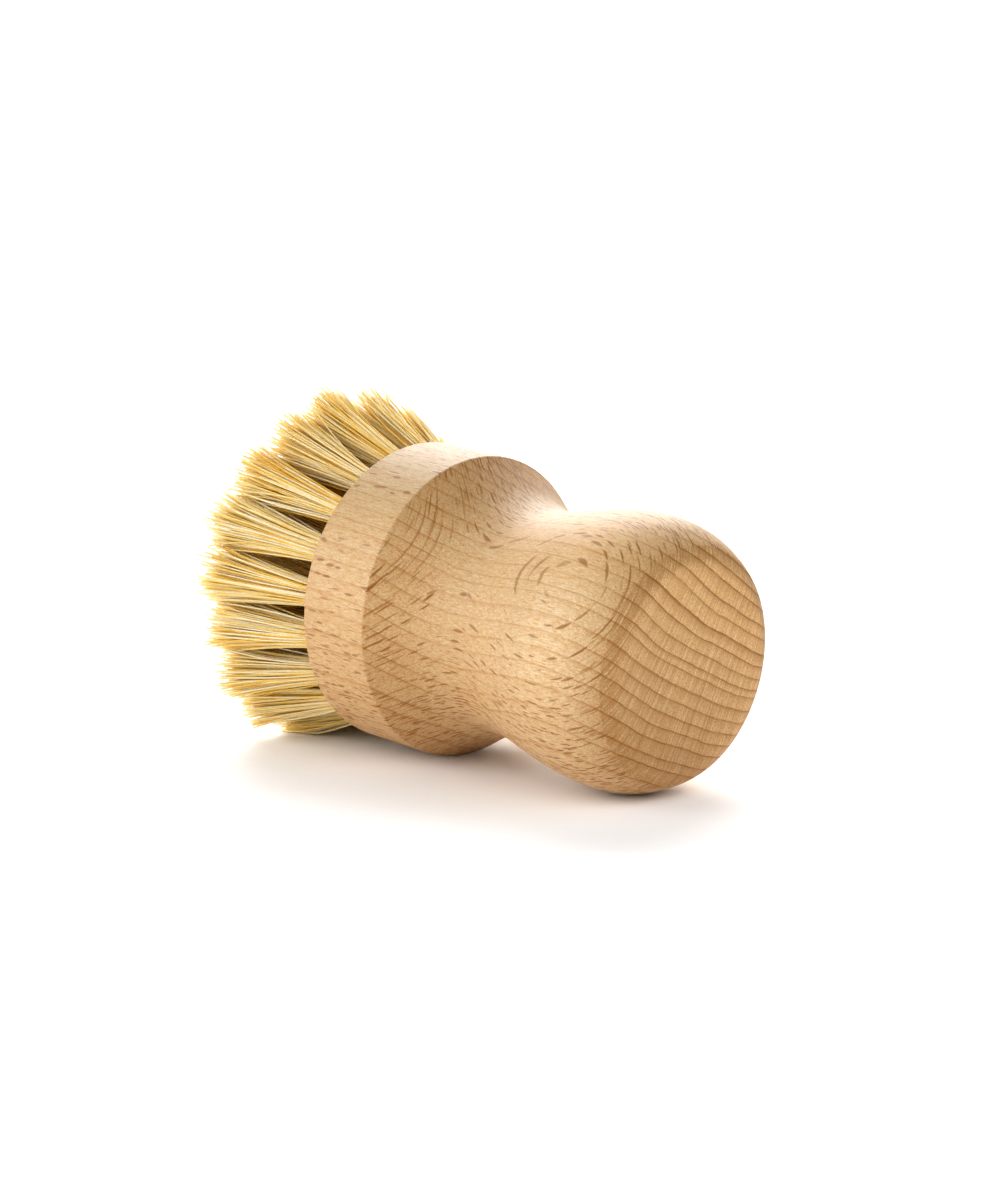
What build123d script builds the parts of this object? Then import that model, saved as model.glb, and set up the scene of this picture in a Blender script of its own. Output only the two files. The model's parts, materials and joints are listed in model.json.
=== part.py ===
# Round dish brush (pot brush) with a turned one-piece beech handle, lying on its side.
#
# The brush lies as it does when it is put down: the sharp rim of the head and the
# belly of the knob both touch the surface, and the lowest bristles are pressed flat
# by it.  +Z is up, +X points toward the knob end, the surface is z = 0 and the
# origin is under the middle of the whole brush.
#
# Inside, every tuft is a bundle of plant fibre folded once round a flat wire anchor.
# The anchor is driven into a blind drilled hole and its two ends bite into the wood.
#
# Everything is first made about the brush's own axis (s, along local +X, zero at the
# rim of the head, positive toward the knob) and is then tilted and set down.
import os
from math import atan2, cos, degrees, pi, radians, sin, tan, hypot

from build123d import *

# ---------------------------------------------------------------- driving dimensions, mm
HEAD_R = 27.0            # radius of the head's band and of its sharp rim
BAND_LEN = 16.0          # length of the head's cylindrical band
FRONT_EDGE_R = 1.2       # rounding between band and bristle face
RIM_EDGE_R = 0.9         # easing of the rim
HANDLE_LEN = 51.6        # rim to knob end
END_FLAT_R = 16.8        # flat end-grain face of the knob
END_EDGE = (50.0, 20.46)  # edge where the knob's side turns into the eased end: distance from the rim, radius
# turned outline behind the rim: (distance from the rim, radius)
OUTLINE = [(3.0, 25.05), (7.0, 22.75), (11.0, 21.08), (15.0, 20.27), (20.0, 20.67),
           (25.0, 21.87), (30.0, 22.96), (35.0, 23.74), (40.0, 23.92), (44.0, 23.32),
           (47.0, 22.22)]

HOLE_R = 2.4             # drilled tuft hole
HOLE_DEPTH = 11.0        # depth along the hole, flat-bottomed

ANCHOR_W = 5.4           # flat wire anchor: width across the hole, 0.3 mm into each wall
ANCHOR_T = 0.4           # thickness
ANCHOR_H = 2.4           # height
ANCHOR_BOTTOM = 9.0      # depth of its lower edge below the bristle face

ROOT_R = 2.33            # tuft where the hole holds it
TUFT_BOTTOM = 10.3       # depth of the fold
TIP_CROWN = 38.4         # trimmed tips: distance from the rim at the brush axis ...
TIP_RIM = 37.3           # ... and at the outermost bristles
LOBES = 11               # ridges round a tuft

# rings of tufts: name, how many, mouth radius, outward tilt (deg), first angle (deg),
# tuft radius at 10.5 mm and at 21 mm above the mouth
RINGS = [("outer", 18, 21.5, 16.2, -6.0, 3.35, 4.60),
         ("middle", 12, 14.2, 9.8, 4.0, 3.20, 4.35),
         ("inner", 6, 7.1, 4.6, 19.0, 3.05, 4.00)]
CENTRE_TUFT = ("centre", 1, 0.0, 0.0, 0.0, 3.05, 4.00)

FLOOR_GAP = 0.02         # pressed bristles end this far above the surface

# ---------------------------------------------------------------- turned outline
front = -BAND_LEN

# easing of the rim, met at a tangent by the band and by the shoulder
shoulder_dir = (cos(radians(35.0)), -sin(radians(35.0)))
rim_in = (-RIM_EDGE_R * 0.35, HEAD_R)
rim_out = (RIM_EDGE_R * 0.32, HEAD_R - RIM_EDGE_R * 0.30)

front_in = (front, HEAD_R - FRONT_EDGE_R)
front_out = (front + FRONT_EDGE_R, HEAD_R)

with BuildLine() as outline:
    Line((front, 0), front_in)
    SagittaArc(front_in, front_out, -FRONT_EDGE_R * (1 - cos(pi / 4)))
    Line(front_out, rim_in)
    Spline(rim_in, rim_out, tangents=[(1, 0), shoulder_dir])
    body_curve = Spline(rim_out, *OUTLINE, END_EDGE, tangents=[shoulder_dir, (1.0, -0.78)])
    Spline(END_EDGE, (HANDLE_LEN, END_FLAT_R), tangents=[(1.0, -1.75), (0, -1)])
    Line((HANDLE_LEN, END_FLAT_R), (HANDLE_LEN, 0))
    Line((HANDLE_LEN, 0), (front, 0))

profile = make_face(outline.line)
turned = revolve(profile, Axis.X, 360)

# ---------------------------------------------------------------- how it lies
# the line that touches the rim and the knob's belly from outside gives the tilt
knob_pts = [body_curve @ (i / 4000) for i in range(4001)]
rim_pts = [(p.X, p.Y) for p in knob_pts if p.X < 1.0] + [rim_in, rim_out]
belly_pts = [(p.X, p.Y) for p in knob_pts if p.X > 25.0]
MID = 17.0
best = None
for a in rim_pts:
    for b in belly_pts[::8]:
        y = a[1] + (b[1] - a[1]) * (MID - a[0]) / (b[0] - a[0])
        if best is None or y > best[0]:
            best = (y, a, b)
_, rim_touch, belly_touch = best
TILT = degrees(atan2(rim_touch[1] - belly_touch[1], belly_touch[0] - rim_touch[0]))


def lay(shape, dx=0.0, dz=0.0):
    """Tilt the brush axis down toward the knob and set the brush on z = 0."""
    return Pos(dx, 0, dz) * (Rot(0, TILT, 0) * shape)


# ---------------------------------------------------------------- tuft frames
def tuft_frame(ring_r, tilt, angle):
    """Mouth centre, outward direction, tangential and radial directions of one tuft.

    angle is measured round the axis from straight up (+Z) toward +Y.
    """
    ca, sa = cos(radians(angle)), sin(radians(angle))
    radial = Vector(0, sa, ca)
    tangent = Vector(0, ca, -sa)
    out = Vector(-cos(radians(tilt)), 0, 0) + radial * sin(radians(tilt))
    mouth = Vector(front, 0, 0) + radial * ring_r
    side = out.cross(tangent)
    return mouth, out, tangent, side


def trim_s(r):
    """Where the bristle tips are trimmed, slightly crowned."""
    return -(TIP_CROWN - (TIP_CROWN - TIP_RIM) * min(1.0, (r / 31.0) ** 2))


def hole_cutter(frame):
    mouth, out, tangent, side = frame
    plane = Plane(origin=mouth, x_dir=tangent, z_dir=out)
    drill = Pos(0, 0, -HOLE_DEPTH) * Cylinder(
        HOLE_R, HOLE_DEPTH + 3, align=(Align.CENTER, Align.CENTER, Align.MIN))
    return plane * drill


def anchor_solid(frame):
    mouth, out, tangent, side = frame
    plane = Plane(origin=mouth, x_dir=tangent, z_dir=out)
    plate = Pos(0, 0, -ANCHOR_BOTTOM) * Box(
        ANCHOR_W, ANCHOR_T, ANCHOR_H, align=(Align.CENTER, Align.CENTER, Align.MIN))
    return plane * plate


def tuft_solid(frame, r_mid, r_tip, twist):
    """A ridged bundle: fold at the bottom, straight in the hole, fanned out above it."""
    mouth, out, tangent, side = frame
    n = 2 * LOBES
    # (height above the mouth, radius)
    levels = [(-TUFT_BOTTOM, 0.55 * ROOT_R), (-TUFT_BOTTOM + 0.35, 0.82 * ROOT_R),
              (-TUFT_BOTTOM + 1.0, ROOT_R), (0.6, ROOT_R), (10.5, r_mid)]
    tip_slope = (r_tip - r_mid) / 10.5

    def point(h, r, i):
        ang = twist + 2 * pi * i / n
        lobe = r * (1.0 if i % 2 == 0 else 0.90)
        return mouth + out * h + tangent * (lobe * cos(ang)) + side * (lobe * sin(ang))

    rows = [[point(h, r, i) for i in range(n)] for h, r in levels]
    # the last row: each ridge line runs on to the trimming plane of this tuft
    mid_tip = mouth + out * 21.0
    s_trim = trim_s(hypot(mid_tip.Y, mid_tip.Z))
    last = []
    for i in range(n):
        p, q = point(10.5, r_mid, i), point(20.5, r_mid + tip_slope * 10.0, i)
        t = (s_trim - p.X) / (q.X - p.X)
        last.append(p + (q - p) * t)
    rows.append(last)

    faces = [Face(Wire.make_polygon(rows[0], close=True)),
             Face(Wire.make_polygon(rows[-1], close=True))]
    for lo, hi in zip(rows[:-1], rows[1:]):
        for i in range(n):
            j = (i + 1) % n
            faces.append(Face(Wire.make_polygon([lo[i], lo[j], hi[j], hi[i]], close=True)))
    body = Solid(Shell(faces))
    return body - anchor_solid(frame)


# ---------------------------------------------------------------- build
frames = {}
for name, count, ring_r, tilt, first, r_mid, r_tip in RINGS:
    frames[name] = [(tuft_frame(ring_r, tilt, first + 360.0 * k / count), r_mid, r_tip)
                    for k in range(count)]
frames["centre"] = [(tuft_frame(0.0, 0.0, 0.0), CENTRE_TUFT[5], CENTRE_TUFT[6])]

every = [f for name in frames for f in frames[name]]
handle = turned - [hole_cutter(f[0]) for f in every]
handle = handle - [anchor_solid(f[0]) for f in every]

nodes = {"handle": handle}
for name in ("outer", "middle", "inner"):
    for k, (frame, r_mid, r_tip) in enumerate(frames[name]):
        nodes[f"tuft_{name}_{k + 1:02d}"] = tuft_solid(frame, r_mid, r_tip, 0.7 * k)
nodes["tuft_centre"] = tuft_solid(*frames["centre"][0], 0.3)
nodes["anchors_outer_ring"] = Compound([anchor_solid(f[0]) for f in frames["outer"]])
nodes["anchors_middle_ring"] = Compound([anchor_solid(f[0]) for f in frames["middle"]])
nodes["anchors_inner_ring"] = Compound([anchor_solid(f[0]) for f in frames["inner"]])
nodes["anchor_centre"] = anchor_solid(frames["centre"][0][0])

# height of the axis over the surface at the rim, from the two places that touch
DZ = rim_touch[0] * sin(radians(TILT)) + rim_touch[1] * cos(radians(TILT))
laid = {name: lay(shape, 0.0, DZ) for name, shape in nodes.items()}

# the surface presses the lowest bristles flat
under = Pos(0, 0, FLOOR_GAP) * Box(200, 200, 40, align=(Align.CENTER, Align.CENTER, Align.MAX))
for name in laid:
    if name.startswith("tuft_") and laid[name].bounding_box().min.Z < FLOOR_GAP:
        laid[name] = laid[name] - under

# origin under the middle of the whole brush
boxes = [shape.bounding_box() for shape in laid.values()]
x_lo, x_hi = min(b.min.X for b in boxes), max(b.max.X for b in boxes)
y_lo, y_hi = min(b.min.Y for b in boxes), max(b.max.Y for b in boxes)
z_lo, z_hi = min(b.min.Z for b in boxes), max(b.max.Z for b in boxes)
DX, DY = -(x_lo + x_hi) / 2, -(y_lo + y_hi) / 2

os.makedirs("parts", exist_ok=True)
for name, shape in laid.items():
    placed = Pos(DX, DY, -z_lo) * shape
    solids = placed.solids()
    out_shape = solids[0] if len(solids) == 1 else Compound(solids)
    export_step(out_shape, f"parts/{name}.step")

end = Pos(DX, DY, DZ - z_lo) * (Rot(0, TILT, 0) * Vertex(HANDLE_LEN, 0, 0))
rim = Pos(DX, DY, DZ - z_lo) * (Rot(0, TILT, 0) * Vertex(0, 0, 0))
print("tilt", round(TILT, 4), "touch", rim_touch, belly_touch)
print("shift", round(DX, 4), round(DY, 4), round(DZ, 4), round(z_lo, 4))
print("box", [round(v, 3) for v in (x_lo + DX, x_hi + DX, y_lo + DY, y_hi + DY, z_lo - z_lo, z_hi - z_lo)])
print("knob end centre", [round(v, 4) for v in end.center()], "rim centre", [round(v, 4) for v in rim.center()])
print("nodes", len(laid))
for s in range(0, 52, 4):
    near = min(knob_pts, key=lambda p: abs(p.X - s))
    print("outline", s, round(near.Y, 3))
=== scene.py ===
import bpy
import json
import math
import numpy as np
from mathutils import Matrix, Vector

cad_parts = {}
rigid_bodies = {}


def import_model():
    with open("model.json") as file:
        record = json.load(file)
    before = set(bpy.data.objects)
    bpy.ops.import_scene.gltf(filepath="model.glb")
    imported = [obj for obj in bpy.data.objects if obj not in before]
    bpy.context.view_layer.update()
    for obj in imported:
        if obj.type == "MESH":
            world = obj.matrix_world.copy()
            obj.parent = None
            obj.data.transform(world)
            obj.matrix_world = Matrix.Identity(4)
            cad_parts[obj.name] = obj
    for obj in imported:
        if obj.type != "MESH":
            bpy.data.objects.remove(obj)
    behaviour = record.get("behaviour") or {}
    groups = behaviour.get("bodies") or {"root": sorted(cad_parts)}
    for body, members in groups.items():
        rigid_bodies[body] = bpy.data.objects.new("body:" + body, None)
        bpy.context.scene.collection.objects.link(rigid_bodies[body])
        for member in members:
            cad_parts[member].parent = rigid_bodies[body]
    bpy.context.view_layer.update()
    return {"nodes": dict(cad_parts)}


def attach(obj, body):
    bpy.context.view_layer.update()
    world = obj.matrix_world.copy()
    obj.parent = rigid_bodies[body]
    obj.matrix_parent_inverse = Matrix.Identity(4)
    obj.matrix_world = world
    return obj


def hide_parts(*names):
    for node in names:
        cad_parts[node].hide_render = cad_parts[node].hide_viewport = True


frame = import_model()
scene = bpy.context.scene

# ---------------------------------------------------------------- the brush's own axes
# s runs along the handle's axis from the shoulder edge (0) to the knob's end, v is level, u is up and square to both.
TILT = math.radians(4.36003)
CT, ST = math.cos(TILT), math.sin(TILT)
RIM = np.array([-6.5198, 0.0, 26.9003])          # the shoulder edge's centre, mm
AX_S = np.array([CT, 0.0, -ST])
AX_V = np.array([0.0, 1.0, 0.0])
AX_U = np.array([ST, 0.0, CT])
RING_V, RING_U = 0.4556, 0.8902                   # the direction across the growth rings, in v and u


def to_frame(p):
    """Points (s, v, u) in mm to the frame in mm."""
    return RIM + p[..., 0:1] * AX_S + p[..., 1:2] * AX_V + p[..., 2:3] * AX_U


# ---------------------------------------------------------------- node helpers
class Net:
    """Short calls for a material's nodes. A number or a socket may be given wherever a value is wanted."""

    def __init__(self, name):
        self.mat = bpy.data.materials.new(name)
        self.mat.use_nodes = True
        self.tree = self.mat.node_tree
        self.tree.nodes.clear()
        self.out = self.node("ShaderNodeOutputMaterial")
        self.bsdf = self.node("ShaderNodeBsdfPrincipled")
        self.tree.links.new(self.bsdf.outputs["BSDF"], self.out.inputs["Surface"])

    def node(self, kind, **props):
        n = self.tree.nodes.new(kind)
        for k, v in props.items():
            setattr(n, k, v)
        return n

    def put(self, socket, value):
        if isinstance(value, bpy.types.NodeSocket):
            self.tree.links.new(value, socket)
        else:
            socket.default_value = value

    def math(self, op, a, b=None, c=None, clamp=False):
        n = self.node("ShaderNodeMath", operation=op, use_clamp=clamp)
        for i, x in enumerate((a, b, c)):
            if x is not None:
                self.put(n.inputs[i], x)
        return n.outputs[0]

    def add(self, a, b): return self.math("ADD", a, b)
    def sub(self, a, b): return self.math("SUBTRACT", a, b)
    def mul(self, a, b, clamp=False): return self.math("MULTIPLY", a, b, clamp=clamp)

    def dot(self, a, vec):
        n = self.node("ShaderNodeVectorMath", operation="DOT_PRODUCT")
        self.put(n.inputs[0], a)
        n.inputs[1].default_value = vec
        return n.outputs["Value"]

    def xyz(self, x, y, z):
        n = self.node("ShaderNodeCombineXYZ")
        for i, v in enumerate((x, y, z)):
            self.put(n.inputs[i], v)
        return n.outputs[0]

    def split(self, vec):
        n = self.node("ShaderNodeSeparateXYZ")
        self.put(n.inputs[0], vec)
        return n.outputs[0], n.outputs[1], n.outputs[2]

    def step(self, x, lo, hi, to_lo=0.0, to_hi=1.0):
        n = self.node("ShaderNodeMapRange", interpolation_type="SMOOTHSTEP", clamp=True)
        self.put(n.inputs["Value"], x)
        self.put(n.inputs["From Min"], lo)
        self.put(n.inputs["From Max"], hi)
        self.put(n.inputs["To Min"], to_lo)
        self.put(n.inputs["To Max"], to_hi)
        return n.outputs["Result"]

    def lerp(self, x, a, b):
        return self.math("MULTIPLY_ADD", x, self.sub(b, a) if isinstance(a, bpy.types.NodeSocket) or isinstance(b, bpy.types.NodeSocket) else b - a, a)

    def noise(self, vec, scale=1.0, detail=2.0, rough=0.5, distort=0.0, dim="3D"):
        n = self.node("ShaderNodeTexNoise", noise_dimensions=dim)
        if dim == "1D":
            self.put(n.inputs["W"], vec)
        else:
            self.put(n.inputs["Vector"], vec)
        n.inputs["Scale"].default_value = scale
        n.inputs["Detail"].default_value = detail
        n.inputs["Roughness"].default_value = rough
        n.inputs["Distortion"].default_value = distort
        return n.outputs["Fac"]

    def white(self, w):
        n = self.node("ShaderNodeTexWhiteNoise", noise_dimensions="1D")
        self.put(n.inputs["W"], w)
        return n.outputs["Value"]

    def mix(self, fac, a, b, kind="MIX"):
        n = self.node("ShaderNodeMix", data_type="RGBA", blend_type=kind)
        n.clamp_factor = True
        self.put(n.inputs[0], fac)
        for i, c in ((6, a), (7, b)):
            self.put(n.inputs[i], c if isinstance(c, bpy.types.NodeSocket) else (*c, 1.0))
        return n.outputs[2]

    def ramp(self, fac, stops):
        n = self.node("ShaderNodeValToRGB")
        e = n.color_ramp.elements
        while len(e) < len(stops):
            e.new(0.5)
        for x, (pos, col) in zip(e, stops):
            x.position = pos
            x.color = (*col, 1.0)
        self.put(n.inputs["Fac"], fac)
        return n.outputs["Color"]

    def bump(self, height, distance, strength=1.0, normal=None):
        n = self.node("ShaderNodeBump")
        n.inputs["Strength"].default_value = strength
        n.inputs["Distance"].default_value = distance
        self.put(n.inputs["Height"], height)
        if normal is not None:
            self.put(n.inputs["Normal"], normal)
        return n.outputs["Normal"]


def brush_coords(k):
    """(s, v, u) in mm and the object-space normal."""
    tc = k.node("ShaderNodeTexCoord")
    m = k.node("ShaderNodeMapping", vector_type="TEXTURE")
    m.inputs["Location"].default_value = tuple(RIM * 0.001)
    m.inputs["Rotation"].default_value = (0.0, TILT, 0.0)
    m.inputs["Scale"].default_value = (0.001, 0.001, 0.001)
    k.put(m.inputs["Vector"], tc.outputs["Object"])
    return m.outputs["Vector"], tc.outputs["Normal"]


# ---------------------------------------------------------------- oiled beech
def beech():
    k = Net("beech_wood")
    p, normal = brush_coords(k)
    s, v, u = k.split(p)
    # across the rings (n) and along them (t)
    n = k.add(k.mul(v, RING_V), k.mul(u, RING_U))
    t = k.sub(k.mul(v, RING_U), k.mul(u, RING_V))

    # which way the surface cuts the wood: 1 on end grain, on tangential and on radial faces
    g_end = k.math("ABSOLUTE", k.dot(normal, tuple(AX_S)))
    g_tan = k.math("ABSOLUTE", k.dot(normal, tuple(RING_V * AX_V + RING_U * AX_U)))
    end = k.step(g_end, 0.22, 0.85)
    on_tan = k.step(g_tan, 0.35, 0.92)

    # growth rings: slightly curved, uneven in width, wandering a little along the grain
    slow = k.noise(k.xyz(k.mul(s, 0.5), v, u), 0.045, 2.0, 0.5)
    wander = k.mul(k.sub(slow, 0.5), 2.6)
    rad = k.add(k.sub(n, k.math("DIVIDE", k.mul(t, t), 220.0)), k.mul(k.mul(t, n), 0.0057))
    rad = k.add(rad, wander)
    fine_warp = k.noise(k.xyz(k.mul(s, 0.25), v, u), 0.55, 2.0, 0.5)
    rad_w = k.add(rad, k.mul(k.sub(fine_warp, 0.5), 0.28))
    uneven = k.noise(rad_w, 0.23, 1.0, 0.5, dim="1D")
    phase = k.add(k.math("DIVIDE", rad_w, 2.35), k.mul(uneven, 1.1))
    f = k.math("FRACT", phase)
    ring_id = k.math("FLOOR", phase)
    ring_rand = k.white(ring_id)
    line = k.mul(k.step(f, 0.775, 0.935), k.step(f, 0.970, 1.0, 1.0, 0.0))
    line = k.mul(line, k.lerp(ring_rand, 0.60, 1.0))
    late = k.mul(k.math("POWER", f, 2.4), k.step(f, 0.93, 1.0, 1.0, 0.0))
    broken = k.noise(k.xyz(k.mul(s, 0.6), k.mul(t, 0.6), k.mul(rad, 0.6)), 0.6, 2.0, 0.6)
    line = k.mul(line, k.step(broken, 0.30, 0.55, 0.50, 1.0))

    # broad rays: thin upright plates that run across the rings
    t_fan = k.mul(t, k.add(1.0, k.math("DIVIDE", n, 115.0)))
    t_fan = k.add(t_fan, k.mul(k.sub(fine_warp, 0.5), 0.22))

    face = k.math("MAXIMUM", on_tan, end)

    def rays(cell, semi, seed, edge):
        q = k.xyz(k.add(k.math("DIVIDE", s, cell[0]), seed), k.math("DIVIDE", t_fan, cell[1]), k.math("DIVIDE", rad, cell[2]))
        vor = k.node("ShaderNodeTexVoronoi", voronoi_dimensions="3D", feature="F1")
        k.put(vor.inputs["Vector"], q)
        vor.inputs["Scale"].default_value = 1.0
        vor.inputs["Randomness"].default_value = 0.92
        d = k.node("ShaderNodeVectorMath", operation="SUBTRACT")
        k.put(d.inputs[0], q)
        k.put(d.inputs[1], vor.outputs["Position"])
        dx, dy, dz = k.split(d.outputs[0])
        r1, r2, r3 = k.split(vor.outputs["Color"])
        size = k.lerp(r1, 0.62, 1.30)
        lean = k.mul(k.sub(r3, 0.5), 0.10)
        ds = k.mul(dx, cell[0])
        dt = k.add(k.mul(dy, cell[1]), k.mul(lean, ds))
        a = k.math("DIVIDE", ds, k.mul(size, semi[0]))
        b = k.math("DIVIDE", dt, k.mul(k.lerp(r2, 0.7, 1.25), semi[1]))
        c = k.math("DIVIDE", k.mul(dz, cell[2]), semi[2])
        e = k.add(k.add(k.mul(a, a), k.math("ABSOLUTE", b)), k.mul(c, c))
        m = k.step(e, k.lerp(face, 0.45, edge), 1.10, 1.0, 0.0)
        return k.mul(m, k.lerp(r3, 0.72, 1.0)), r2

    broad, broad_rand = rays((2.9, 1.02, 23.0), (1.50, 0.145, 11.5), 1.87, 0.74)
    small, small_rand = rays((2.35, 0.92, 7.0), (0.92, 0.150, 3.6), 5.61, 0.74)
    long, long_rand = rays((5.6, 1.15, 29.0), (3.80, 0.150, 15.5), 2.83, 0.62)

    # pores and fibre: streaks along the grain, dots where it is cut across
    grain = k.noise(k.xyz(k.mul(s, 0.30), k.mul(v, 2.2), k.mul(u, 2.2)), 1.0, 3.0, 0.62)
    speck = k.noise(k.xyz(k.mul(s, 0.6), k.mul(v, 3.9), k.mul(u, 3.9)), 1.0, 2.0, 0.65)
    grit = k.noise(p, 4.0, 2.0, 0.75)
    tone = k.noise(k.xyz(k.mul(s, 0.4), v, u), 0.09, 3.0, 0.5)

    # colour
    dark_line, ray_brown = (0.275, 0.094, 0.002), (0.285, 0.090, 0.0)
    col = k.mix(k.step(tone, 0.25, 0.75), (0.680, 0.434, 0.203), (0.752, 0.504, 0.255))
    # painted light: the knob is made paler all round, standing in for the light that falls on its middle
    col = k.mix(k.mul(k.step(s, 18.0, 34.0), 0.55), col, (0.830, 0.595, 0.330))
    col = k.mix(k.mul(k.step(s, 24.0, 14.0), 0.40), col, (0.640, 0.405, 0.188))
    col = k.mix(k.mul(late, k.lerp(end, 0.30, 0.74)), col, (0.59, 0.275, 0.075))
    col = k.mix(k.mul(end, 0.66), col, (0.515, 0.258, 0.070))
    # painted shade: deeper in colour towards the lower side, where the brush lies in its own shade near the floor
    col = k.mix(k.mul(k.step(n, -5.0, -26.0), 0.50), col, (0.505, 0.272, 0.096))
    col = k.mix(k.mul(k.mul(k.step(s, 20.0, 34.0), k.step(n, 0.0, 12.0)), 0.50), col, (0.720, 0.415, 0.158))
    # painted shade: one side of the neck and the knob is darkened where the light from the front left falls on it
    lit_side_shade = k.mul(k.mul(k.step(s, 8.0, 18.0), k.step(s, 40.0, 30.0)), k.step(t, -6.0, -18.0))
    col = k.mix(k.mul(lit_side_shade, 0.50), col, (0.580, 0.362, 0.168))
    # painted shade with painted warm bounce light: the upper part of the shoulder's end grain is darker and more orange
    col = k.mix(k.mul(k.mul(k.step(n, 4.0, 22.0), k.step(s, 13.0, 5.0)), k.mul(end, 0.55)), col, (0.500, 0.215, 0.045))
    # painted shade: the uppermost part of the band, next to the rim, is darkened and a little greyer, holding back the
    # light from behind
    band_top_shade = k.mul(k.step(s, 0.6, -0.6), k.step(u, 12.0, 25.0))
    col = k.mix(band_top_shade, col, k.mix(1.0, col, (0.84, 0.88, 0.885), "MULTIPLY"))
    # darker where the knob turns over to its flat end: partly the end grain's own darker colour, partly painted shade
    # along the turn; and wide late wood on the end itself
    turn = k.mul(k.mul(k.step(g_end, 0.45, 0.80), k.step(g_end, 0.985, 0.90)), k.step(s, 34.0, 40.0))
    col = k.mix(k.mul(turn, 0.42), col, (0.420, 0.205, 0.058))
    # fine pale rays on the flat end of the knob
    flat_end = k.mul(k.step(s, 44.0, 50.0), k.step(g_end, 0.55, 0.9))
    pale = k.noise(k.xyz(k.mul(s, 0.3), k.mul(t_fan, 3.0), k.mul(rad, 0.09)), 1.0, 2.0, 0.60)
    col = k.mix(k.mul(k.step(pale, 0.50, 0.64), k.mul(flat_end, 0.75)), col, (0.78, 0.50, 0.24))
    # painted shade: the lower part of the knob's end grain is darker where it curves towards the floor
    col = k.mix(k.mul(k.mul(k.step(n, 0.0, -20.0), k.step(s, 36.0, 46.0)), k.mul(end, 0.42)), col, (0.385, 0.185, 0.055))
    col = k.mix(k.mul(k.step(grain, 0.46, 0.70), k.lerp(end, 0.18, 0.30)), col, (0.60, 0.285, 0.085))
    # fine light and dark, more of it in the yellow and blue than in the red
    fine = k.add(k.mul(k.sub(grit, 0.5), k.lerp(end, 1.10, 1.50)), k.mul(k.sub(0.5, speck), k.lerp(end, 1.30, 1.35)))
    fine = k.math("MINIMUM", k.math("MAXIMUM", fine, -0.42), 0.36)
    col = k.mix(1.0, col, k.xyz(k.math("MULTIPLY_ADD", fine, 0.40, 1.0), k.math("MULTIPLY_ADD", fine, 1.0, 1.0), k.math("MULTIPLY_ADD", fine, 1.7, 1.0)), "MULTIPLY")
    band = k.mul(k.step(f, 0.30, 0.90), k.step(f, 0.94, 1.0, 1.0, 0.0))
    col = k.mix(k.mul(band, k.mul(flat_end, k.lerp(ring_rand, 0.30, 0.62))), col, (0.400, 0.185, 0.050))
    col = k.mix(k.mul(line, k.lerp(end, 0.46, 0.97)), col, k.mix(end, (0.430, 0.170, 0.018), dark_line))
    show = k.mul(k.lerp(face, 0.86, 1.0), k.lerp(flat_end, 1.0, 0.35))
    show = k.mul(show, k.math("MAXIMUM", face, k.step(broad_rand, 0.25, 0.45)))
    col = k.mix(k.mul(broad, show), col, ray_brown)
    col = k.mix(k.mul(small, k.mul(face, k.lerp(flat_end, 1.0, 0.2))), col, (0.270, 0.088, 0.0))
    col = k.mix(k.mul(long, k.mul(k.step(end, 0.15, 0.55), k.lerp(flat_end, 0.90, 0.30))), col, ray_brown)

    k.put(k.bsdf.inputs["Base Color"], col)
    rough = k.add(k.mul(grit, 0.14), k.lerp(end, 0.43, 0.56))
    rough = k.add(rough, k.mul(broad, -0.06))
    k.put(k.bsdf.inputs["Roughness"], rough)
    k.bsdf.inputs["Specular IOR Level"].default_value = 0.30
    height = k.add(k.mul(speck, 0.55), k.add(k.mul(grain, 0.35), k.mul(grit, 0.45)))
    height = k.sub(height, k.add(k.mul(broad, 0.40), k.mul(line, 0.15)))
    k.put(k.bsdf.inputs["Normal"], k.bump(height, 0.00006, 0.85))
    return k.mat


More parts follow.
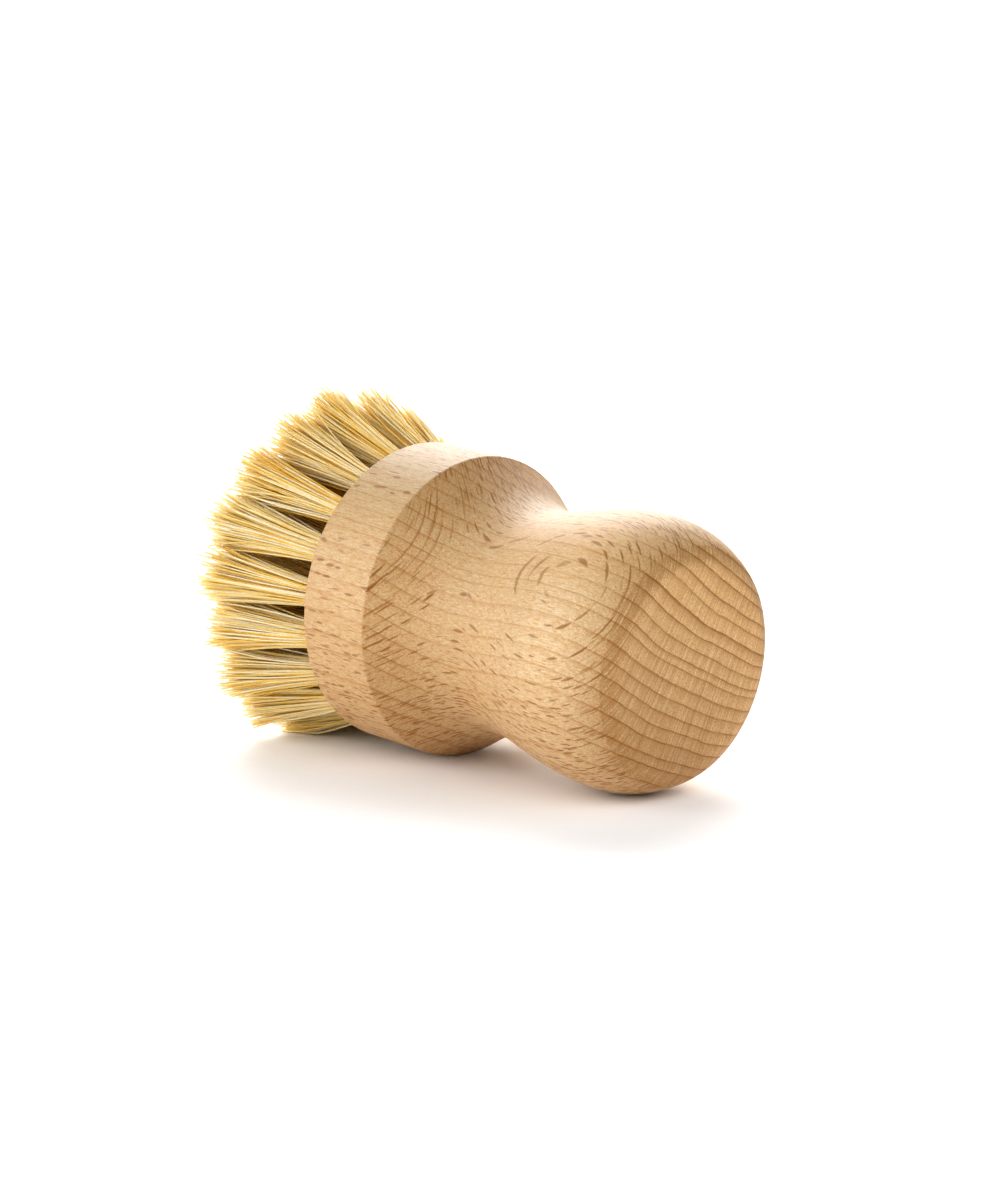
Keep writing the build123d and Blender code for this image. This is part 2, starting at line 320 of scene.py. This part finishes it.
# ---------------------------------------------------------------- stiff plant fibre
def plant_fibre():
    k = Net("plant_fibre_strands")
    at = k.node("ShaderNodeAttribute", attribute_type="GEOMETRY", attribute_name="strand")
    hue, along, other = k.split(at.outputs["Color"])
    tc = k.node("ShaderNodeTexCoord")
    p = tc.outputs["Object"]
    blotch = k.noise(p, 420.0, 3.0, 0.6)
    streak = k.noise(p, 2600.0, 2.0, 0.6)
    x = k.add(k.mul(hue, 0.88), k.mul(k.sub(blotch, 0.5), 0.50))
    x = k.add(x, k.lerp(k.step(along, 0.40, 1.0), 0.205, 0.185))
    # painted shade: the inner tufts, in the shade of the outer ones, are made more golden, and brown towards their
    # roots
    inner = k.step(other, 0.999, 1.0)
    other = k.sub(other, inner)
    x = k.sub(x, k.mul(inner, 0.14))
    col = k.ramp(x, [(0.0, (0.54, 0.205, 0.004)), (0.27, (0.86, 0.495, 0.050)), (0.56, (0.940, 0.730, 0.222)), (1.0, (0.955, 0.895, 0.665))])
    col = k.mix(k.mul(k.step(along, 0.62, 1.0), k.lerp(other, 0.22, 0.66)), col, (0.905, 0.725, 0.265))
    col = k.mix(k.mul(k.step(streak, 0.52, 0.74), 0.30), col, (0.58, 0.30, 0.04))
    # painted shade: brown towards the roots, where the strands pack close, reaching much further up the inner tufts
    col = k.mix(k.mul(k.step(along, k.lerp(inner, 0.12, 0.62), 0.0), k.lerp(inner, 0.35, 0.92)), col, (0.300, 0.120, 0.012))
    # painted shade: the downward-facing undersides of the strands, in the shade of their neighbours and lit only by
    # light coming through them, are deeper in colour
    underside_shade = k.step(k.dot(tc.outputs["Normal"], (0.248, -0.247, -0.940)), 0.0, 0.85)
    col = k.mix(k.mul(underside_shade, 0.80), col, k.mix(1.0, col, (0.95, 0.755, 0.34), "MULTIPLY"))
    # painted shade: so are the inner tufts below their tips
    col = k.mix(k.mul(k.mul(inner, k.step(along, 0.80, 0.25)), 0.85), col, k.mix(1.0, col, (0.90, 0.74, 0.40), "MULTIPLY"))
    # painted light: the uppermost tufts are a warmer gold, standing in for the light from behind shining through them
    col = k.mix(k.step(k.split(p)[2], 0.042, 0.056), col, k.mix(1.0, col, (1.0, 0.925, 0.72), "MULTIPLY"))
    k.put(k.bsdf.inputs["Base Color"], col)
    k.put(k.bsdf.inputs["Roughness"], k.lerp(streak, 0.42, 0.60))
    k.bsdf.inputs["Specular IOR Level"].default_value = 0.30
    k.put(k.bsdf.inputs["Normal"], k.bump(k.noise(p, 5200.0, 2.0, 0.6), 0.00002, 0.6))
    return k.mat


# ---------------------------------------------------------------- anchor wire
def anchor_steel():
    k = Net("anchor_wire_steel")
    tc = k.node("ShaderNodeTexCoord")
    p = tc.outputs["Object"]
    x, y, z = k.split(p)
    brushed = k.noise(k.xyz(k.mul(x, 0.15), y, z), 9000.0, 2.0, 0.6)
    spots = k.noise(p, 700.0, 3.0, 0.6)
    col = k.mix(brushed, (0.46, 0.46, 0.45), (0.64, 0.64, 0.62))
    col = k.mix(k.mul(k.step(spots, 0.55, 0.75), 0.5), col, (0.34, 0.27, 0.20))
    k.put(k.bsdf.inputs["Base Color"], col)
    k.bsdf.inputs["Metallic"].default_value = 1.0
    k.put(k.bsdf.inputs["Roughness"], k.lerp(brushed, 0.26, 0.46))
    k.put(k.bsdf.inputs["Normal"], k.bump(brushed, 0.00001, 0.5))
    return k.mat


# ---------------------------------------------------------------- the tufts
HEAD_LEN = 16.0
HOLE_IN = 3.2                  # how far a strand reaches back into its hole, mm
RINGS = [                      # name, tufts, mouth radius, tilt, first angle, strands, fan along the ring, fan across it
    ("outer", 18, 21.5, 16.2, -6.0, 330, 2.52, 2.40),
    ("middle", 12, 14.2, 9.8, 4.0, 260, 3.00, 2.70),
    ("inner", 6, 7.1, 4.6, 19.0, 190, 2.45, 2.45),
]
SEGS, SIDES = 9, 5


def trim_s(r):
    """Where the brush is cut off, for a radius from its axis."""
    return -(38.4 - 1.1 * np.minimum(1.0, (r / 31.0) ** 2))


def strand_paths(rng, ring_r, tilt_deg, angle_deg, count, fan_t, fan_r):
    """Centre lines of one tuft's strands in the frame, mm, with each strand's radii and colour channels."""
    a, tl = math.radians(angle_deg), math.radians(tilt_deg)
    radial = np.array([0.0, math.sin(a), math.cos(a)])
    tang = np.array([0.0, math.cos(a), -math.sin(a)])
    out = np.array([-math.cos(tl), 0.0, 0.0]) + radial * math.sin(tl)
    side = np.cross(tang, out)                       # square to both, outwards
    if side @ radial < 0:
        side = -side
    mouth = np.array([-HEAD_LEN, 0.0, 0.0]) + radial * ring_r

    rho = 2.14 * np.sqrt(rng.random(count))
    th = rng.random(count) * 2 * math.pi
    o_t, o_r = rho * np.cos(th), rho * np.sin(th)
    spread = rng.normal(0.0, 0.34, (count, 2))
    wild = rng.random(count)
    spread[wild > 0.925] *= 3.2
    spread[wild > 0.985] *= 1.8
    spread = np.clip(spread, -2.6, 2.2)
    lean = rng.normal(0.0, 0.45, 2) + np.array([0.0, 0.0 if ring_r > 20 else 0.9 * min(1.0, ring_r / 10)])
    size = rng.uniform(0.93, 1.07)
    e_t = o_t * fan_t * size + spread[:, 0] + lean[0]
    e_r = np.minimum(o_r * fan_r * size + spread[:, 1] + lean[1], 6.1)
    # length to the cut face
    L = np.full(count, 21.0)
    for _ in range(4):
        tip = mouth + out * L[:, None] + tang * e_t[:, None] + side * e_r[:, None]
        r = np.hypot(tip[:, 1], tip[:, 2])
        L += (tip[:, 0] - trim_s(r)) / math.cos(tl)
    cut = rng.normal(0.0, 0.30, count) + rng.normal(0.0, 0.30)
    short = rng.random(count)
    cut -= np.where(short > 0.88, rng.random(count) * 2.2, 0.0)
    cut += np.where(short < 0.04, rng.random(count) * 0.8, 0.0)
    L = L + cut

    x = np.linspace(0.0, 1.0, SEGS + 1) ** 0.92
    run = -HOLE_IN + (L[:, None] + HOLE_IN) * x[None, :]
    y = np.clip(run / L[:, None], 0.0, None)
    bend = y ** rng.uniform(1.30, 1.85, count)[:, None]
    bow = rng.normal(0.0, 0.20, (count, 2))
    bow[wild > 0.93] *= 2.6
    wave = rng.normal(0.0, 0.05, (count, 2))
    ph = rng.uniform(0.0, 6.28, count)[:, None]
    off_t = o_t[:, None] + (e_t - o_t)[:, None] * bend + bow[:, 0:1] * np.sin(math.pi * np.clip(y, 0, 1)) + wave[:, 0:1] * (np.sin(2.6 * math.pi * y + ph) - np.sin(ph)) * (y > 0)
    off_r = o_r[:, None] + (e_r - o_r)[:, None] * bend + bow[:, 1:2] * np.sin(math.pi * np.clip(y, 0, 1)) + wave[:, 1:2] * (np.sin(2.2 * math.pi * y + ph) - np.sin(ph)) * (y > 0)
    p = mouth + out * run[..., None] + tang * off_t[..., None] + side * off_r[..., None]
    p = to_frame(p)

    r0 = rng.uniform(0.112, 0.195, count)
    rad = r0[:, None] * (1.0 - 0.12 * np.clip(y, 0, 1))
    # the lowest strands lie on the floor, pressed together
    soft = 0.45
    low = rad + 0.03
    z = p[..., 2] - low
    p[..., 2] = low + np.where(z > 12 * soft, z, soft * np.log1p(np.exp(np.clip(z, -60, 60 * soft) / soft)))
    # painted shade: strands deep inside a tuft get a darker, more golden hue, and only outer strands may be the palest
    depth = np.clip(rho / 2.14, 0, 1) ** 2
    hue = np.clip(0.95 * rng.beta(1.25, 1.15, count) + 0.24 * depth - 0.11, 0, 1)
    hue[(rng.random(count) > 0.86) & (depth > 0.45)] = 1.15
    return p, rad, hue, y, rng.random(count) * 0.99 + (0.0 if ring_r > 20 else 1.0), to_frame(side + np.zeros(3)) - to_frame(np.zeros(3))


def strands_mesh(name, p, rad, hue, y, other, ref):
    """One closed tapered tube for each strand, with its colour channels and a strip of the map of its own."""
    N, K = rad.shape
    tan = np.gradient(p, axis=1)
    tan /= np.linalg.norm(tan, axis=2, keepdims=True)
    b = np.cross(tan, ref)
    b /= np.linalg.norm(b, axis=2, keepdims=True)
    c = np.cross(b, tan)
    ang = np.arange(SIDES) * 2 * math.pi / SIDES
    ring = np.cos(ang)[:, None] * b[:, :, None, :] + np.sin(ang)[:, None] * c[:, :, None, :]
    verts = p[:, :, None, :] + ring * rad[:, :, None, None]
    verts = verts.reshape(-1, 3) * 0.001
    base = (np.arange(N) * K * SIDES)[:, None, None]
    kk = (np.arange(K - 1) * SIDES)[None, :, None]
    i = np.arange(SIDES)[None, None, :]
    j = (np.arange(SIDES)[None, None, :] + 1) % SIDES
    quads = np.stack([base + kk + i, base + kk + SIDES + i, base + kk + SIDES + j, base + kk + j], axis=-1).reshape(-1, 4)
    # the map: one column for each strand, two rows of columns
    cols = math.ceil(N / 2)
    cw, ch = 1.0 / cols, 0.5
    cx = (np.arange(N) % cols) * cw
    cy = (np.arange(N) // cols) * ch
    gap_x, gap_y = cw * 0.10, 0.012
    uu = (np.arange(SIDES + 1) / SIDES)
    u0 = cx[:, None, None] + gap_x + (cw - 2 * gap_x) * uu[None, None, :-1]
    u1 = cx[:, None, None] + gap_x + (cw - 2 * gap_x) * uu[None, None, 1:]
    vk = gap_y + (ch - 0.05 - 2 * gap_y) * np.arange(K) / (K - 1)
    v0 = cy[:, None, None] + vk[None, :-1, None] + 0 * uu[None, None, :-1]
    v1 = cy[:, None, None] + vk[None, 1:, None] + 0 * uu[None, None, :-1]
    u0, u1 = u0 + 0 * v0, u1 + 0 * v0
    quad_uv = np.stack([np.stack([u0, v0], -1), np.stack([u0, v1], -1), np.stack([u1, v1], -1), np.stack([u1, v0], -1)], axis=3).reshape(-1, 2)
    tip = (np.arange(N) * K * SIDES + (K - 1) * SIDES)[:, None] + np.arange(SIDES)[None, ::-1]
    root = (np.arange(N) * K * SIDES)[:, None] + np.arange(SIDES)[None, :]
    disc = np.stack([np.cos(ang), np.sin(ang)], -1)
    rw = min(0.3 * cw, 0.012)
    tc = np.stack([cx + cw * 0.28, cy + ch - 0.022], -1)
    rc = np.stack([cx + cw * 0.72, cy + ch - 0.022], -1)
    tip_uv = (tc[:, None, :] + disc[None, ::-1, :] * rw * 0.7).reshape(-1, 2)
    root_uv = (rc[:, None, :] + disc[None, :, :] * rw * 0.7).reshape(-1, 2)

    loops = np.concatenate([quads.ravel(), tip.ravel(), root.ravel()])
    nq, nc = len(quads), 2 * N
    starts = np.concatenate([np.arange(nq) * 4, nq * 4 + np.arange(nc) * SIDES])
    me = bpy.data.meshes.new(name)
    me.vertices.add(len(verts))
    me.vertices.foreach_set("co", verts.astype(np.float32).ravel())
    me.loops.add(len(loops))
    me.loops.foreach_set("vertex_index", loops.astype(np.int32))
    me.polygons.add(nq + nc)
    me.polygons.foreach_set("loop_start", starts.astype(np.int32))
    smooth = np.ones(nq + nc, bool)
    smooth[nq:] = False
    me.polygons.foreach_set("use_smooth", smooth)
    uv = me.uv_layers.new(name="OFBake")
    uv.data.foreach_set("uv", np.concatenate([quad_uv, tip_uv, root_uv]).astype(np.float32).ravel())
    attr = me.color_attributes.new("strand", "FLOAT_COLOR", "POINT")
    along = np.clip(y, 0, 1)
    rgba = np.stack([np.broadcast_to(hue[:, None], along.shape), along, np.broadcast_to(other[:, None], along.shape), np.ones_like(along)], -1)
    rgba = np.repeat(rgba[:, :, None, :], SIDES, axis=2).reshape(-1, 4)
    attr.data.foreach_set("color", rgba.astype(np.float32).ravel())
    me.update(calc_edges=True)
    me.validate()
    return me


def make_tufts(mat):
    todo = [("tuft_%s_%02d" % (name, i + 1), r, tilt, a0 + 360.0 / count * i, n, ft, fr)
            for name, count, r, tilt, a0, n, ft, fr in RINGS for i in range(count)]
    todo.append(("tuft_centre", 0.0, 0.0, 0.0, 170, 2.2, 2.2))
    for seed, (node, r, tilt, ang, n, ft, fr) in enumerate(todo):
        rng = np.random.default_rng(4100 + seed)
        me = strands_mesh(node.replace("tuft", "strands"), *strand_paths(rng, r, tilt, ang, n, ft, fr))
        o = bpy.data.objects.new(node.replace("tuft", "strands"), me)
        scene.collection.objects.link(o)
        me.materials.append(mat)
        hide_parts(node)
        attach(o, "root")


# ---------------------------------------------------------------- put it together
wood, fibre, steel = beech(), plant_fibre(), anchor_steel()
make_tufts(fibre)
for name in ["handle"] + [n for n in frame["nodes"] if n.startswith("anchor")]:
    o = bpy.data.objects[name]
    for slot in o.material_slots:
        slot.material = wood if name == "handle" else steel

# ---------------------------------------------------------------- camera
PITCH, YAW = 0.1729, 2.3588
fwd = Vector((math.cos(PITCH) * math.cos(YAW), math.cos(PITCH) * math.sin(YAW), -math.sin(PITCH)))
cam = bpy.data.cameras.new("camera")
cam.lens, cam.sensor_width, cam.sensor_fit, cam.clip_start = 102.45, 36.0, "AUTO", 0.01
cam_ob = bpy.data.objects.new("camera", cam)
cam_ob.location = (0.41741, -0.41542, 0.13180)
cam_ob.rotation_euler = fwd.to_track_quat("-Z", "Y").to_euler()
scene.collection.objects.link(cam_ob)
scene.camera = cam_ob

# ---------------------------------------------------------------- floor
flat = fwd.copy()
flat.z = 0.0
flat.normalize()
right = flat.cross(Vector((0, 0, 1)))


def floor_mat():
    k = Net("studio_floor")
    tc = k.node("ShaderNodeTexCoord")
    n = k.noise(tc.outputs["Object"], 900.0, 2.0, 0.6)
    k.put(k.bsdf.inputs["Base Color"], k.mix(n, (0.93, 0.925, 0.92), (0.97, 0.965, 0.96)))
    k.bsdf.inputs["Roughness"].default_value = 0.85
    k.bsdf.inputs["Specular IOR Level"].default_value = 0.15
    return k.mat


me = bpy.data.meshes.new("floor")
me.from_pydata([(-60, -60, 0), (60, -60, 0), (60, 60, 0), (-60, 60, 0)], [], [(0, 1, 2, 3)])
floor = bpy.data.objects.new("floor", me)
me.materials.append(floor_mat())
scene.collection.objects.link(floor)

# ---------------------------------------------------------------- soft studio light
LIGHTS = [                     # name, azimuth from the right towards the back, elevation, softness in degrees, strength
    ("back_low", 90, 14, 45, 1.40),
    ("left_low", 180, 14, 45, 1.72),
    ("back_high", 90, 38, 45, 2.40),
    ("back_left", 135, 38, 45, 0.34),
    ("left", 180, 38, 45, 0.36),
    ("front_left", 225, 38, 45, 0.46),
    ("front_right", 315, 38, 45, 0.96),
    ("back_right_low", 45, 14, 45, 0.20),
    ("fibre_warm", 300, 78, 45, 0.74),
    ("fibre_warm_low", 240, 6, 45, 0.18),
    ("fibre_fill", 262, 12, 45, 0.13),
    ("floor_wash_right", 0, 38, 60, 0.70),
    ("floor_wash_back", 90, 38, 60, 0.80),
    ("floor_wash_front", 270, 38, 60, 0.88),
]
washed = bpy.data.collections.new("floor_only")
washed.objects.link(floor)
fibres = bpy.data.collections.new("fibres_only")
for o in scene.objects:
    if o.name.startswith("strands"):
        fibres.objects.link(o)
for name, az, el, soft, strength in LIGHTS:
    li = bpy.data.lights.new(name, "SUN")
    li.energy, li.angle = strength, math.radians(soft)
    lo = bpy.data.objects.new(name, li)
    az, el = math.radians(az), math.radians(el)
    d = (right * math.cos(az) + flat * math.sin(az)) * math.cos(el) + Vector((0, 0, math.sin(el)))
    lo.rotation_euler = (-d).to_track_quat("-Z", "Y").to_euler()
    lo.location = d
    scene.collection.objects.link(lo)
    if name.startswith("floor_wash"):
        lo.light_linking.receiver_collection = washed
    elif name.startswith("fibre"):
        lo.light_linking.receiver_collection = fibres
        li.color = (1.0, 0.42, 0.05) if name == "fibre_fill" else (1.0, 0.86, 0.58)

world = bpy.data.worlds.new("studio")
scene.world = world
world.use_nodes = True
wt = world.node_tree
wt.nodes.clear()
# a white surround in the picture, and only a faint light from it
seen, faint, both = wt.nodes.new("ShaderNodeBackground"), wt.nodes.new("ShaderNodeBackground"), wt.nodes.new("ShaderNodeMixShader")
seen.inputs[0].default_value = faint.inputs[0].default_value = (1.0, 1.0, 1.0, 1.0)
seen.inputs[1].default_value, faint.inputs[1].default_value = 1.05, 0.03
wt.links.new(wt.nodes.new("ShaderNodeLightPath").outputs["Is Camera Ray"], both.inputs[0])
wt.links.new(faint.outputs[0], both.inputs[1])
wt.links.new(seen.outputs[0], both.inputs[2])
wt.links.new(both.outputs[0], wt.nodes.new("ShaderNodeOutputWorld").inputs[0])
scene.view_settings.view_transform = "Standard"
scene.view_settings.look = "None"
